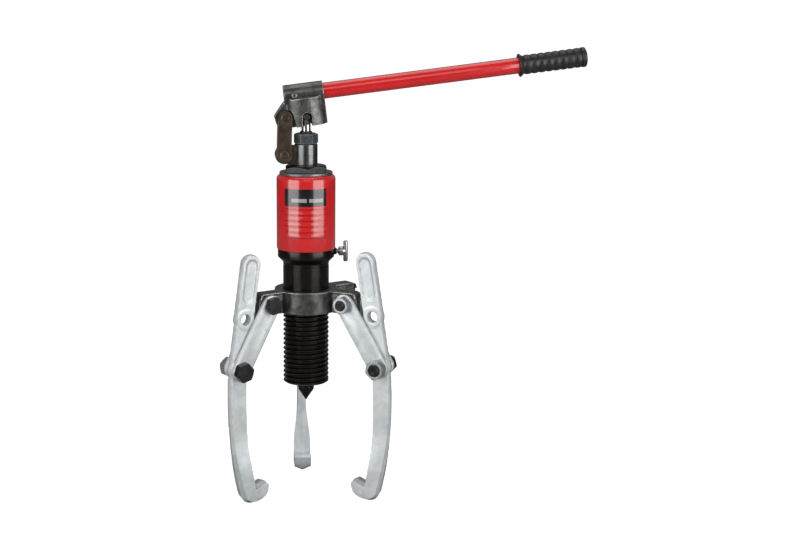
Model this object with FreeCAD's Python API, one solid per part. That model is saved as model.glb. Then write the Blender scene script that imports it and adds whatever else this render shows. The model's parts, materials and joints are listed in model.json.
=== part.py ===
import FreeCAD, Part
import math
import os

# Hydraulic gear puller, in millimetres. The origin is the point of the ram, with the ram retracted.
# +Z runs up the barrel towards the pump, and +X runs out along the pump handle.
# Each of the three jaws is drawn in its own plane, X outwards and Z up, and then turned about Z.

V = FreeCAD.Vector
X = V(1, 0, 0)
Y = V(0, 1, 0)
Z = V(0, 0, 1)
ORIGIN = V(0, 0, 0)

# Fits
RUN = 0.08            # radial clearance of pins, bolts and slides
GAP = 0.3             # side clearance between pieces that swing past each other

# Springs are drawn as short straight lengths of wire, mitred where they meet
COIL_STEPS = 16       # lengths in one turn
MITRED = 1

# Ram and threaded barrel (screw thread 48 x 5)
BARREL_Z = 20.5       # lower end of the barrel above the ram's point
BARREL_R = 24.0
THREAD_PITCH = 5.0
THREAD_DEPTH = 2.4
THREAD_TOP = 120.5
BORE_R = 17.0
COLLAR_R = 29.5
COLLAR_Z = 155.5
CHAMFER = 5.5
SHELL_Z = 164.0       # lower edge of the reservoir
STROKE = 50.0
ROD_R = 11.0
GUIDE_TOP = 31.0
PISTON_Z = 108.0
PISTON_H = 14.0
POINT_R = 8.4
CONE_H = 12.0

# Reservoir and its top
SHELL_R = 30.6
SHELL_T = 2.0
SHELL_TOP = 241.8
SHOULDER = 4.5
CORE_R = 20.0
WASHER_R = 27.6
WASHER_T = 2.7
LOCK_NUT_AF = 41.5
LOCK_NUT_H = 6.5
NECK_R = 13.0
LABEL_T = 0.3
LABEL_Z = (178.0, 229.5)
LABEL_ANGLE = 45.0    # half of the angle that the label covers
LABEL_TURN = -5.0     # the label's middle, round from straight in front

# Inside the cylinder and the reservoir
SPIGOT_H = 5.0        # the barrel's spigot inside the reservoir
HEAD_H = 16.0         # plug that closes the ram's bore
OIL_HOLE_R = 2.0
CORE_BORE_R = 9.0
CORE_ROOM = 12.0      # room above the core tube
BLADDER_R = 26.5
BLADDER_T = 2.0
BLADDER_H = 58.0
BLADDER_RISE = 7.0    # its foot above the reservoir's lower edge
NECK_DEPTH = 10.0     # how far the pump's neck reaches below the reservoir's top plate

# Seals, check valves, springs and the ram's point
GLAND_SPIGOT_R = 7.4
GLAND_SPIGOT_H = 3.0
RECESS_R = 7.5
RECESS_H = 6.0
SEAL_H = 2.8
WIPER_R = 6.6
WIPER_H = 2.2
SEAL_PLAY = 0.05
OIL_WAY_R = 2.6
BALL_R = 2.3
CHECK_SPRING = (1.8, 0.3, 1.6, 6.4)     # mean radius, wire radius, pitch and height
RAM_SPRING = (14.0, 1.1, 9.2)           # mean radius, wire radius and pitch
RAM_SPRING_PLAY = 1.3                   # at each end
POINT_STEM_R = 4.9
POINT_STEM_H = 14.0
POINT_HOLE_R = 5.0
POINT_HOLE_H = 16.0
TIP_R = 0.4           # small flat on a turned point

# Hand pump
PUMP_R = 12.0
PUMP_H = 22.0
GLAND_AF = 22.0
GLAND_H = 11.0
PLUNGER_R = 4.75
LINK_FOOT = (-22.8, 262.0)      # lower link pin, X and Z
LINK_HEAD = (-21.7, 300.2)      # upper link pin
PLUNGER_PIN_Z = 301.5
LINK_W = 14.6
LINK_T = 4.0
EAR_HALF = 6.6                  # half thickness of the pump's ear and of the lever's tongue
EAR_R = 9.6
PIN_R = 3.2
HANDLE_TILT = 7.07              # degrees that the handle points above level
HANDLE_Z = 325.0                # height at which the handle's axis crosses X = 0
SOCKET_R = 10.7
SOCKET_X = (-23.0, 17.6)        # ends of the socket along the handle's own axis
TUBE_R = 8.3
TUBE_WALL = 2.0
TUBE_END = 221.0
GRIP_R = 10.2
GRIP_FLANGE_R = 12.2
GRIP_END = 291.5
GRIP_RINGS = 9

# Release valve, on the +X side of the collar
VALVE_Z = 160.2
VALVE_R = 2.6
TBAR_X = 41.5
TBAR_R = 2.4
TBAR_L = 22.0

# Yoke that screws on the barrel
YOKE_Z = 98.5
YOKE_H = 23.5
YOKE_R = 33.0
YOKE_TRAVEL = 62.0
LUG_HALF = 5.0
LUG_END = 60.5
LUG_RIM_T = 1.7
LUG_RIM_HALF = 8.0
JAW_ANGLES = {"rear": 90.0, "left": 210.0, "right": 330.0}
SPARE_ANGLE = 30.0

# Straps and jaws, in the jaw's own plane
STRAP_PIVOT = (48.0, 109.8)
STRAP_L = 75.0
STRAP_W = 20.5
STRAP_T = 5.0
STRAP_TILT = {"rear": 30.5, "left": 29.5, "right": 31.6}    # degrees out from straight down
JAW_TILT = {"rear": 0.0, "left": -1.0, "right": 0.0}        # degrees, foot outwards
UPPER_BOLT_R = 5.0
LOWER_BOLT_R = 6.0
JAW_T = 9.0
BOSS_R = 10.6
BOSS_HALF = 5.0
HOOK_CORNER = (-15.3, -129.4)   # where the arm meets the hook's upper face
CORNER_RELIEF_R = 1.0
SPARE_HOLE = (-9.0, 52.3)       # second hole, above the pivot
ARM_TOP = (-18.6, 108.6)        # centre of the rounded upper end
ARM_R = 10.3
FOOT_HALF = 9.2                 # half width of the widened foot


def cylinder(radius, height, base, axis=Z):
    return Part.makeCylinder(radius, height, base, axis)


def ring(outer, inner, height, base, axis=Z):
    # The inner cutter runs past both faces.
    over = V(axis).multiply(1.0)
    hole = Part.makeCylinder(inner, height + 2.0, base - over, axis)
    return cylinder(outer, height, base, axis).cut(hole)


def prism(points, thickness, plane):
    """A flat outline, X-Z or X-Y, with a thickness shared equally about its plane."""
    if plane == "XZ":
        corners = [V(a, -thickness / 2.0, b) for a, b in points]
        along = V(0, thickness, 0)
    else:
        corners = [V(a, b, -thickness / 2.0) for a, b in points]
        along = V(0, 0, thickness)
    wire = Part.makePolygon(corners + [corners[0]])
    return Part.Face(wire).extrude(along)


def hexagon(across_flats, height, base, axis, turn=0.0):
    """A hexagonal prism that starts at base and grows along axis."""
    radius = across_flats / math.sqrt(3.0)
    points = []
    for k in range(6):
        a = math.radians(60.0 * k + turn)
        points.append(V(radius * math.cos(a), radius * math.sin(a), 0))
    body = Part.Face(Part.makePolygon(points + [points[0]])).extrude(V(0, 0, height))
    # Both ends are chamfered by a pair of cones, as a turned hexagon is.
    top = Part.makeCone(radius + height, radius * 0.92, height + radius * 0.08, ORIGIN, Z)
    low = Part.makeCone(radius * 0.92, radius + height, height + radius * 0.08, ORIGIN, Z)
    body = body.common(top).common(low)
    body.Placement = FreeCAD.Placement(base, FreeCAD.Rotation(Z, axis))
    return body


def stadium(a, b, half_width, thickness):
    """A plate in the X-Z plane with round ends at a and b."""
    ax, az = a
    bx, bz = b
    length = math.hypot(bx - ax, bz - az)
    nx = -(bz - az) / length * half_width
    nz = (bx - ax) / length * half_width
    sides = [(ax + nx, az + nz), (bx + nx, bz + nz), (bx - nx, bz - nz), (ax - nx, az - nz)]
    plate = prism(sides, thickness, "XZ")
    for px, pz in (a, b):
        plate = plate.fuse(cylinder(half_width, thickness, V(px, -thickness / 2.0, pz), Y))
    return plate.removeSplitter()


def moved(shape, offset):
    copy = shape.copy()
    copy.translate(offset)
    return copy


def turned(shape, centre, axis, degrees):
    copy = shape.copy()
    copy.rotate(centre, axis, degrees)
    return copy


def helix_spring(mean_r, wire_r, pitch, height, base):
    points = []
    for k in range(int(COIL_STEPS * height / pitch) + 1):
        a = math.radians(360.0 * k / COIL_STEPS)
        points.append(V(mean_r * math.cos(a), mean_r * math.sin(a), pitch * k / COIL_STEPS))
    path = Part.makePolygon(points)
    circle = Part.Wire([Part.makeCircle(wire_r, points[0], points[1] - points[0])])
    coil = path.makePipeShell([circle], True, False, MITRED)
    return moved(coil, base)


# ---------------------------------------------------------------- cylinder and reservoir

def threaded_barrel():
    top = SHELL_Z
    body = cylinder(BARREL_R, COLLAR_Z - CHAMFER - BARREL_Z, V(0, 0, BARREL_Z))
    flare = Part.makeCone(BARREL_R, COLLAR_R, CHAMFER, V(0, 0, COLLAR_Z - CHAMFER), Z)
    collar = cylinder(COLLAR_R, top - COLLAR_Z, V(0, 0, COLLAR_Z))
    spigot = cylinder(SHELL_R - SHELL_T - SEAL_PLAY, SPIGOT_H, V(0, 0, top))
    body = body.fuse([flare, collar, spigot])
    body = body.cut(cylinder(BORE_R, 200.0, V(0, 0, BARREL_Z - 1.0)))
    # The thread is drawn as a row of V grooves at its pitch.
    half = THREAD_PITCH * 0.42
    z = BARREL_Z + THREAD_PITCH * 0.75
    while z < THREAD_TOP:
        profile = [V(BARREL_R + 1.0, 0, z - half - 1.0), V(BARREL_R - THREAD_DEPTH, 0, z),
                   V(BARREL_R + 1.0, 0, z + half + 1.0)]
        face = Part.Face(Part.makePolygon(profile + [profile[0]]))
        body = body.cut(face.revolve(ORIGIN, Z, 360))
        z += THREAD_PITCH
    groove = ring(BARREL_R + 1.0, BARREL_R - 0.8, 1.6, V(0, 0, COLLAR_Z - CHAMFER - 3.0))
    body = body.cut(groove)
    # The release valve's spindle enters here.
    body = body.cut(cylinder(VALVE_R + RUN, 40.0, V(BORE_R + 3.0, 0, VALVE_Z), X))
    return body


def rod_guide():
    height = GUIDE_TOP - BARREL_Z
    return ring(BORE_R, ROD_R + RUN, height, V(0, 0, BARREL_Z))


def core_tube():
    height = SHELL_TOP - SHELL_Z - SPIGOT_H - CORE_ROOM
    return ring(CORE_R, CORE_BORE_R, height, V(0, 0, SHELL_Z + SPIGOT_H))


def cylinder_head():
    """Plug that closes the top of the ram's bore, with its oil passage."""
    return ring(BORE_R, OIL_HOLE_R, HEAD_H, V(0, 0, SHELL_Z + SPIGOT_H - HEAD_H))


def reservoir_shell():
    profile = [V(SHELL_R - SHELL_T, 0, SHELL_Z), V(SHELL_R, 0, SHELL_Z),
               V(SHELL_R, 0, SHELL_TOP - SHOULDER)]
    lean = SHOULDER * (1.0 - math.cos(math.radians(45)))
    arc = Part.Arc(profile[2], V(SHELL_R - lean, 0, SHELL_TOP - lean),
                   V(SHELL_R - SHOULDER, 0, SHELL_TOP)).toShape()
    inner_top = SHELL_TOP - SHELL_T
    edges = [Part.makeLine(profile[0], profile[1]), Part.makeLine(profile[1], profile[2]), arc,
             Part.makeLine(V(SHELL_R - SHOULDER, 0, SHELL_TOP), V(NECK_R + RUN, 0, SHELL_TOP)),
             Part.makeLine(V(NECK_R + RUN, 0, SHELL_TOP), V(NECK_R + RUN, 0, inner_top)),
             Part.makeLine(V(NECK_R + RUN, 0, inner_top), V(SHELL_R - SHELL_T - 2.0, 0, inner_top)),
             Part.makeLine(V(SHELL_R - SHELL_T - 2.0, 0, inner_top),
                           V(SHELL_R - SHELL_T, 0, inner_top - 2.0)),
             Part.makeLine(V(SHELL_R - SHELL_T, 0, inner_top - 2.0), profile[0])]
    return Part.Face(Part.Wire(edges)).revolve(ORIGIN, Z, 360)


def label():
    """Thin curved plate on the front of the reservoir."""
    low, high = LABEL_Z
    sheet = ring(SHELL_R + LABEL_T, SHELL_R + 0.02, high - low, V(0, 0, low))
    reach = SHELL_R * 2.0
    a = math.radians(LABEL_ANGLE)
    wedge = [(0, 0), (-reach * math.sin(a), -reach * math.cos(a)),
             (reach * math.sin(a), -reach * math.cos(a))]
    sector = moved(prism(wedge, 400.0, "XY"), V(0, 0, low))
    return turned(sheet.common(sector), ORIGIN, Z, LABEL_TURN)


def oil_bladder():
    bottom = SHELL_Z + BLADDER_RISE
    sleeve = ring(BLADDER_R, BLADDER_R - BLADDER_T, BLADDER_H, V(0, 0, bottom))
    foot = ring(BLADDER_R, CORE_R + GAP, BLADDER_T, V(0, 0, bottom))
    head = ring(BLADDER_R, CORE_R + GAP, BLADDER_T, V(0, 0, bottom + BLADDER_H - BLADDER_T))
    return sleeve.fuse([foot, head]).removeSplitter()


def clamp_washer():
    return ring(WASHER_R, NECK_R + RUN, WASHER_T, V(0, 0, SHELL_TOP))


def lock_nut():
    base = SHELL_TOP + WASHER_T
    nut = hexagon(LOCK_NUT_AF, LOCK_NUT_H, V(0, 0, base), Z, 30.0)
    return nut.cut(cylinder(NECK_R + RUN, 30.0, V(0, 0, base - 5.0)))


def pump_body():
    foot = SHELL_TOP + WASHER_T + LOCK_NUT_H
    lower = SHELL_TOP - SHELL_T - NECK_DEPTH
    body = cylinder(PUMP_R, PUMP_H, V(0, 0, foot))
    body = body.fuse(cylinder(NECK_R, foot - lower, V(0, 0, lower)))
    ear_x, ear_z = LINK_FOOT
    ear = cylinder(EAR_R, 2 * EAR_HALF, V(ear_x, -EAR_HALF, ear_z), Y)
    web = prism([(ear_x, ear_z - EAR_R), (0, foot), (0, foot + PUMP_H - 1.5),
                 (ear_x + 8.0, foot + PUMP_H - 1.5), (ear_x, ear_z + EAR_R)],
                2 * EAR_HALF, "XZ")
    body = body.fuse([ear, web]).removeSplitter()
    body = body.cut(cylinder(PIN_R + RUN, 40.0, V(ear_x, -20.0, ear_z), Y))
    # Plunger bore, gland recess and the valve chamber below.
    body = body.cut(cylinder(PLUNGER_R + RUN, 80.0, V(0, 0, lower + 12.0)))
    body = body.cut(cylinder(RECESS_R, RECESS_H, V(0, 0, foot + PUMP_H - RECESS_H)))
    body = body.cut(cylinder(OIL_WAY_R, 40.0, V(0, 0, lower - 10.0)))
    return body


def gland_nut():
    base = SHELL_TOP + WASHER_T + LOCK_NUT_H + PUMP_H
    nut = hexagon(GLAND_AF, GLAND_H, V(0, 0, base), Z, 0.0)
    nut = nut.fuse(cylinder(GLAND_SPIGOT_R, GLAND_SPIGOT_H, V(0, 0, base - GLAND_SPIGOT_H)))
    return nut.cut(cylinder(PLUNGER_R + RUN, 40.0, V(0, 0, base - 10.0)))


def plunger_seal():
    base = SHELL_TOP + WASHER_T + LOCK_NUT_H + PUMP_H - 5.9
    return ring(GLAND_SPIGOT_R, PLUNGER_R + SEAL_PLAY, SEAL_H, V(0, 0, base))


def wiper_seal():
    base = SHELL_TOP + WASHER_T + LOCK_NUT_H + PUMP_H + GLAND_H
    return ring(WIPER_R, PLUNGER_R + SEAL_PLAY, WIPER_H, V(0, 0, base))


def check_balls():
    lower = SHELL_TOP - SHELL_T - NECK_DEPTH
    upper_ball = Part.makeSphere(BALL_R, V(0, 0, lower + 9.0))
    lower_ball = Part.makeSphere(BALL_R, V(0, 0, SHELL_Z + 14.0))
    return Part.makeCompound([upper_ball, lower_ball])


def check_springs():
    lower = SHELL_TOP - SHELL_T - NECK_DEPTH
    low = helix_spring(*CHECK_SPRING, V(0, 0, lower - 0.2))
    high = helix_spring(*CHECK_SPRING, V(0, 0, SHELL_Z + 17.5))
    return Part.makeCompound([low, high])


# ---------------------------------------------------------------- ram

def ram_rod():
    rod = cylinder(ROD_R, PISTON_Z - BARREL_Z, V(0, 0, BARREL_Z))
    return rod.cut(cylinder(POINT_HOLE_R, POINT_HOLE_H, V(0, 0, BARREL_Z - 1.0)))


def piston_head():
    head = cylinder(BORE_R - RUN, PISTON_H, V(0, 0, PISTON_Z))
    groove = ring(BORE_R + 1.0, BORE_R - 3.0, 3.2, V(0, 0, PISTON_Z + 5.4))
    return head.cut(groove)


def piston_seal():
    return ring(BORE_R - RUN, BORE_R - 2.9, 3.0, V(0, 0, PISTON_Z + 5.5))


def centre_point():
    cone = Part.makeCone(TIP_R, POINT_R, CONE_H, ORIGIN, Z)
    neck = cylinder(POINT_R, BARREL_Z - CONE_H, V(0, 0, CONE_H))
    relief = ring(POINT_R + 1.0, POINT_R - 1.0, 1.6, V(0, 0, CONE_H + 3.4))
    stem = cylinder(POINT_STEM_R, POINT_STEM_H, V(0, 0, BARREL_Z))
    return cone.fuse([neck, stem]).removeSplitter().cut(relief)


def return_spring():
    length = PISTON_Z - GUIDE_TOP - 2 * RAM_SPRING_PLAY
    return helix_spring(*RAM_SPRING, length, V(0, 0, GUIDE_TOP + RAM_SPRING_PLAY))


# ---------------------------------------------------------------- release valve

def release_spindle():
    stem = cylinder(VALVE_R, TBAR_X - COLLAR_R + 7.0, V(COLLAR_R - 6.9, 0, VALVE_Z), X)
    tip = Part.makeCone(TIP_R, VALVE_R, 2.0, V(COLLAR_R - 8.9, 0, VALVE_Z), X)
    knob = cylinder(4.8, 5.0, V(TBAR_X - 7.6, 0, VALVE_Z), X)
    spindle = stem.fuse([tip, knob]).removeSplitter()
    return spindle.cut(cylinder(TBAR_R, TBAR_L, V(TBAR_X, 0, VALVE_Z - TBAR_L / 2.0)))


def release_tbar():
    bar = cylinder(TBAR_R, TBAR_L, V(TBAR_X, 0, VALVE_Z - TBAR_L / 2.0))
    return bar.makeFillet(0.8, [e for e in bar.Edges if len(e.Vertexes) == 1])


def valve_gland():
    return ring(3.6, VALVE_R + RUN, 2.4, V(COLLAR_R + 0.02, 0, VALVE_Z), X)


# ---------------------------------------------------------------- pump linkage and handle

def link_plate(side):
    plate = stadium(LINK_FOOT, LINK_HEAD, LINK_W / 2.0, LINK_T)
    foot = cylinder(EAR_R - 1.0, LINK_T, V(LINK_FOOT[0], -LINK_T / 2.0, LINK_FOOT[1]), Y)
    plate = plate.fuse(foot).removeSplitter()
    for px, pz in (LINK_FOOT, LINK_HEAD):
        plate = plate.cut(cylinder(PIN_R + RUN, 20.0, V(px, -10.0, pz), Y))
    return moved(plate, V(0, side * (EAR_HALF + GAP + LINK_T / 2.0), 0))


def link_pin(place):
    half = EAR_HALF + GAP + LINK_T
    pin = cylinder(PIN_R, 2 * half + 1.6, V(place[0], -half - 0.8, place[1]), Y)
    heads = [cylinder(PIN_R + 1.5, 1.4, V(place[0], half + 0.05, place[1]), Y),
             cylinder(PIN_R + 1.5, 1.4, V(place[0], -half - 1.45, place[1]), Y)]
    return pin.fuse(heads).removeSplitter()


def along_handle(shape):
    """Tilt a piece drawn level about the point where the handle crosses X = 0."""
    return turned(shape, V(0, 0, HANDLE_Z), Y, -HANDLE_TILT)


def lever_socket():
    start, end = SOCKET_X
    barrel = cylinder(SOCKET_R, end - start, V(start, 0, HANDLE_Z), X)
    barrel = along_handle(barrel)
    # A hollow oval skirt hangs below the socket and carries the plunger pin.
    skirt_top = HANDLE_Z - 4.0
    skirt_low = PLUNGER_PIN_Z - 9.5
    oval = Part.Ellipse(V(0.5, 0, skirt_low), 20.8, 15.8).toShape()
    skirt = Part.Face(Part.Wire([oval])).extrude(V(0, 0, skirt_top - skirt_low))
    skirt = turned(skirt, V(0, 0, PLUNGER_PIN_Z), Y, -HANDLE_TILT)
    head_x, head_z = LINK_HEAD
    tongue = prism([(-22.6, 322.0), (-21.2, 318.5), (-26.4, 311.6), (-33.0, 301.5),
                    (-30.5, 292.8), (-14.0, 291.0), (-8.0, 296.0), (-8.0, 322.0)],
                   2 * EAR_HALF, "XZ")
    body = barrel.fuse([skirt, tongue]).removeSplitter()
    # Room inside the skirt for the plunger, and an open slot across it for the plunger pin.
    room = Part.makeBox(29.0, 2 * (PLUNGER_R + 1.6), 60.0, V(-9.5, -PLUNGER_R - 1.6, 252.6))
    room = turned(room, V(0, 0, PLUNGER_PIN_Z), Y, -HANDLE_TILT)
    slot = Part.makeBox(2 * PIN_R + 3.0, 60.0, 40.0, V(-PIN_R - 0.7, -30.0, PLUNGER_PIN_Z - 40.0))
    slot_top = stadium((-0.4, PLUNGER_PIN_Z + 0.3), (1.3, PLUNGER_PIN_Z + 0.3), PIN_R + 0.5, 60.0)
    body = body.cut(room).cut(slot).cut(slot_top)
    # The links swing beside the tongue, in a pocket that fans out below their upper pin.
    for lean in (-8.0, 5.0, 18.0):
        a = math.radians(lean)
        low_end = (head_x + 30.0 * math.sin(a), head_z - 30.0 * math.cos(a))
        pocket = stadium(low_end, (head_x, head_z), LINK_W / 2.0 + 1.0, 2 * LINK_T)
        for side in (-1, 1):
            body = body.cut(moved(pocket, V(0, side * (EAR_HALF + LINK_T), 0)))
    body = body.cut(cylinder(PIN_R + RUN, 60.0, V(head_x, -30.0, head_z), Y))
    hole = cylinder(TUBE_R + 0.03, 80.0, V(start + 5.0, 0, HANDLE_Z), X)
    body = body.cut(along_handle(hole))
    pin_hole = cylinder(2.0, 30.0, V(-12.5, -30.0, HANDLE_Z), Y)
    return body.cut(along_handle(pin_hole))


def retaining_pin():
    pin = cylinder(1.95, 9.0, V(-12.5, -SOCKET_R - 0.1, HANDLE_Z), Y)
    pin = pin.cut(cylinder(0.9, 4.0, V(-12.5, -SOCKET_R - 1.0, HANDLE_Z), Y))
    return along_handle(pin)


def handle_tube():
    start = SOCKET_X[0] + 5.1
    tube = ring(TUBE_R, TUBE_R - TUBE_WALL, GRIP_END - 6.0 - start, V(start, 0, HANDLE_Z), X)
    tube = along_handle(tube)
    hole = cylinder(2.0, 9.5, V(-12.5, -12.0, HANDLE_Z), Y)
    return tube.cut(along_handle(hole))


def handle_grip():
    length = GRIP_END - TUBE_END
    body = cylinder(GRIP_R, length, V(TUBE_END, 0, HANDLE_Z), X)
    body = body.fuse(cylinder(GRIP_FLANGE_R, 3.4, V(TUBE_END, 0, HANDLE_Z), X))
    pitch = (length - 5.0) / GRIP_RINGS
    for k in range(GRIP_RINGS):
        x = TUBE_END + 4.6 + pitch * k
        body = body.cut(ring(GRIP_R + 2.0, GRIP_R - 0.9, 1.6, V(x, 0, HANDLE_Z), X))
    bore = cylinder(TUBE_R + 0.03, GRIP_END - 5.9 - TUBE_END + 1.0, V(TUBE_END - 1.0, 0, HANDLE_Z), X)
    return along_handle(body.cut(bore))


def plunger_rod():
    low = SHELL_TOP + 8.5
    top = PLUNGER_PIN_Z + 7.0
    rod = cylinder(PLUNGER_R, top - low, V(0, 0, low))
    return rod.cut(cylinder(PIN_R + 0.02, 30.0, V(0, -15.0, PLUNGER_PIN_Z), Y))


def plunger_pin():
    return cylinder(PIN_R, 31.0, V(0, -15.5, PLUNGER_PIN_Z), Y)


# ---------------------------------------------------------------- yoke

def lug():
    """One lug along +X, flush with the yoke's faces."""
    low, high = YOKE_Z, YOKE_Z + YOKE_H
    start = BARREL_R + 5.0
    side = [(start, low), (LUG_END - 5.0, low), (LUG_END - 1.5, low + 1.5), (LUG_END, low + 5.0),
            (LUG_END, high - 5.0), (LUG_END - 1.5, high - 1.5), (LUG_END - 5.0, high),
            (start, high)]
    blade = prism(side, 2 * LUG_HALF, "XZ")
    rim_side = [(start, high - LUG_RIM_T), (LUG_END - 1.8, high - LUG_RIM_T),
                (LUG_END - 1.8, high - 6.5), (LUG_END, high - 6.5), (LUG_END, high - 5.0),
                (LUG_END - 1.5, high - 1.5), (LUG_END - 5.0, high), (start, high)]
    rim = prism(rim_side, 2 * LUG_RIM_HALF, "XZ")
    return blade.fuse(rim).removeSplitter()


def yoke():
    body = cylinder(YOKE_R, YOKE_H, V(0, 0, YOKE_Z))
    for angle in list(JAW_ANGLES.values()) + [SPARE_ANGLE]:
        body = body.fuse(turned(lug(), ORIGIN, Z, angle))
    body = body.removeSplitter()
    body = body.cut(cylinder(BARREL_R + RUN, 60.0, V(0, 0, YOKE_Z - 10.0)))
    px, pz = STRAP_PIVOT
    for angle in list(JAW_ANGLES.values()) + [SPARE_ANGLE]:
        hole = cylinder(UPPER_BOLT_R + RUN, 30.0, V(px, -15.0, pz), Y)
        body = body.cut(turned(hole, ORIGIN, Z, angle))
    return body


# ---------------------------------------------------------------- straps, jaws and their bolts

def strap_end(name):
    """X and Z of the lower pivot in the jaw's plane."""
    a = math.radians(STRAP_TILT[name])
    px, pz = STRAP_PIVOT
    return px + STRAP_L * math.sin(a), pz - STRAP_L * math.cos(a)


def strap(name, side):
    foot = strap_end(name)
    plate = stadium(STRAP_PIVOT, foot, STRAP_W / 2.0, STRAP_T)
    upper = cylinder(UPPER_BOLT_R + RUN, 20.0, V(STRAP_PIVOT[0], -10.0, STRAP_PIVOT[1]), Y)
    lower = cylinder(LOWER_BOLT_R + RUN, 20.0, V(foot[0], -10.0, foot[1]), Y)
    plate = plate.cut(upper).cut(lower)
    return moved(plate, V(0, side * (LUG_HALF + GAP + STRAP_T / 2.0), 0))


def hex_bolt(place, radius, across_flats, head_h):
    """Shank along Y with its head on the +Y strap."""
    px, pz = place
    face = LUG_HALF + GAP + STRAP_T
    head = hexagon(across_flats, head_h, V(px, face, pz), Y, 12.0)
    tail = face + radius * 1.6 + 3.0
    shank = cylinder(radius, face + tail + 0.1, V(px, -tail, pz), Y)
    shank = shank.makeChamfer(0.9, [e for e in shank.Edges if abs(e.CenterOfMass.y + tail) < 0.01
                                    and len(e.Vertexes) == 1])
    return head.fuse(shank).removeSplitter()


def hex_nut(place, radius, across_flats):
    px, pz = place
    face = LUG_HALF + GAP + STRAP_T
    height = radius * 1.6
    nut = hexagon(across_flats, height, V(px, -face - height, pz), Y, 20.0)
    return nut.cut(cylinder(radius + 0.02, 40.0, V(px, -30.0, pz), Y))


def foot_outline():
    """Lower arm and hook, clockwise from the pivot, as arcs in the jaw's plane."""
    def arc(a, b, c):
        return Part.Arc(V(a[0], 0, a[1]), V(b[0], 0, b[1]), V(c[0], 0, c[1])).toShape()

    def line(a, b):
        return Part.makeLine(V(a[0], 0, a[1]), V(b[0], 0, b[1]))

    hip = (9.2, -4.0)
    knee = (9.0, -83.0)
    heel = (-0.6, -135.5)
    sole = (-12.0, -147.0)
    toe = (-30.4, -131.0)
    nose = (-27.4, -124.6)
    corner = HOOK_CORNER
    shin = (-8.9, -84.0)
    inner_hip = (-9.2, -4.0)
    edges = [arc(hip, (11.0, -45.0), knee), arc(knee, (5.1, -110.0), heel),
             arc(heel, (-4.2, -143.4), sole), arc(sole, (-24.6, -143.2), toe),
             arc(toe, (-30.3, -126.3), nose), line(nose, corner),
             arc(corner, (-11.4, -107.0), shin), arc(shin, (-8.3, -48.0), inner_hip),
             line(inner_hip, hip)]
    return Part.Face(Part.Wire(edges))


def jaw_foot():
    wide = 2 * FOOT_HALF
    body = foot_outline()
    body.translate(V(0, -FOOT_HALF, 0))
    body = body.extrude(V(0, wide, 0))
    # Seen from inside, the arm is thin down to the shin and then widens to the foot.
    half = JAW_T / 2.0
    outline = [(half, 10.0), (half, -76.0), (half + 0.8, -83.0), (FOOT_HALF - 0.9, -101.0),
               (FOOT_HALF, -110.0), (FOOT_HALF, -141.0), (FOOT_HALF - 2.0, -150.0)]
    points = [V(-60.0, y, z) for y, z in outline]
    points += [V(-60.0, -y, z) for y, z in reversed(outline)]
    envelope = Part.Face(Part.makePolygon(points + [points[0]])).extrude(V(120.0, 0, 0))
    body = body.common(envelope)
    # Towards its back the foot narrows again.
    for side in (-1, 1):
        wedge = [(14.0, side * (half + 0.4)), (14.0, side * 30.0), (-8.0, side * 30.0),
                 (-8.0, side * FOOT_HALF)]
        cutter = Part.makePolygon([V(x, y, -78.0) for x, y in wedge + [wedge[0]]])
        body = body.cut(Part.Face(cutter).extrude(V(0, 0, -90.0)))
    return body


def jaw():
    pivot = (0.0, 0.0)
    body = jaw_foot()
    # A small relief in the hook's corner, so that a flat gear face lies down fully.
    body = body.cut(cylinder(CORNER_RELIEF_R, 40.0, V(HOOK_CORNER[0], -20.0, HOOK_CORNER[1]), Y))
    body = body.fuse(stadium(pivot, SPARE_HOLE, 9.2, JAW_T))
    body = body.fuse(stadium(SPARE_HOLE, ARM_TOP, ARM_R, JAW_T))
    for px, pz in (pivot, SPARE_HOLE):
        body = body.fuse(cylinder(BOSS_R, 2 * BOSS_HALF, V(px, -BOSS_HALF, pz), Y))
    body = body.removeSplitter()
    # A shallow panel is sunk in each face of the upper arm.
    lower = (ARM_TOP[0] + (SPARE_HOLE[0] - ARM_TOP[0]) * 0.58,
             ARM_TOP[1] + (SPARE_HOLE[1] - ARM_TOP[1]) * 0.58)
    upper = (ARM_TOP[0] + 0.3, ARM_TOP[1] - 1.5)
    for side in (-1, 1):
        panel = stadium(lower, upper, 6.2, 2.0)
        body = body.cut(moved(panel, V(0, side * (JAW_T / 2.0), 0)))
    body = body.cut(cylinder(LOWER_BOLT_R + RUN, 40.0, V(0, -20.0, 0), Y))
    body = body.cut(cylinder(UPPER_BOLT_R + RUN, 40.0, V(SPARE_HOLE[0], -20.0, SPARE_HOLE[1]), Y))
    return body


def jaw_pieces(name):
    """Every piece of one jaw, placed in the jaw's plane and turned to its angle about Z."""
    foot = strap_end(name)
    hanging = turned(moved(jaw(), V(foot[0], 0, foot[1])), V(foot[0], 0, foot[1]), Y,
                     -JAW_TILT[name])
    pieces = {
        "jaw_" + name: hanging,
        "strap_head_side_" + name: strap(name, 1),
        "strap_nut_side_" + name: strap(name, -1),
        "upper_bolt_" + name: hex_bolt(STRAP_PIVOT, UPPER_BOLT_R, 16.5, 6.4),
        "upper_nut_" + name: hex_nut(STRAP_PIVOT, UPPER_BOLT_R, 16.5),
        "lower_bolt_" + name: hex_bolt(foot, LOWER_BOLT_R, 18.5, 7.5),
        "lower_nut_" + name: hex_nut(foot, LOWER_BOLT_R, 18.5),
    }
    angle = JAW_ANGLES[name]
    return {node: turned(shape, ORIGIN, Z, angle) for node, shape in pieces.items()}


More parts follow.
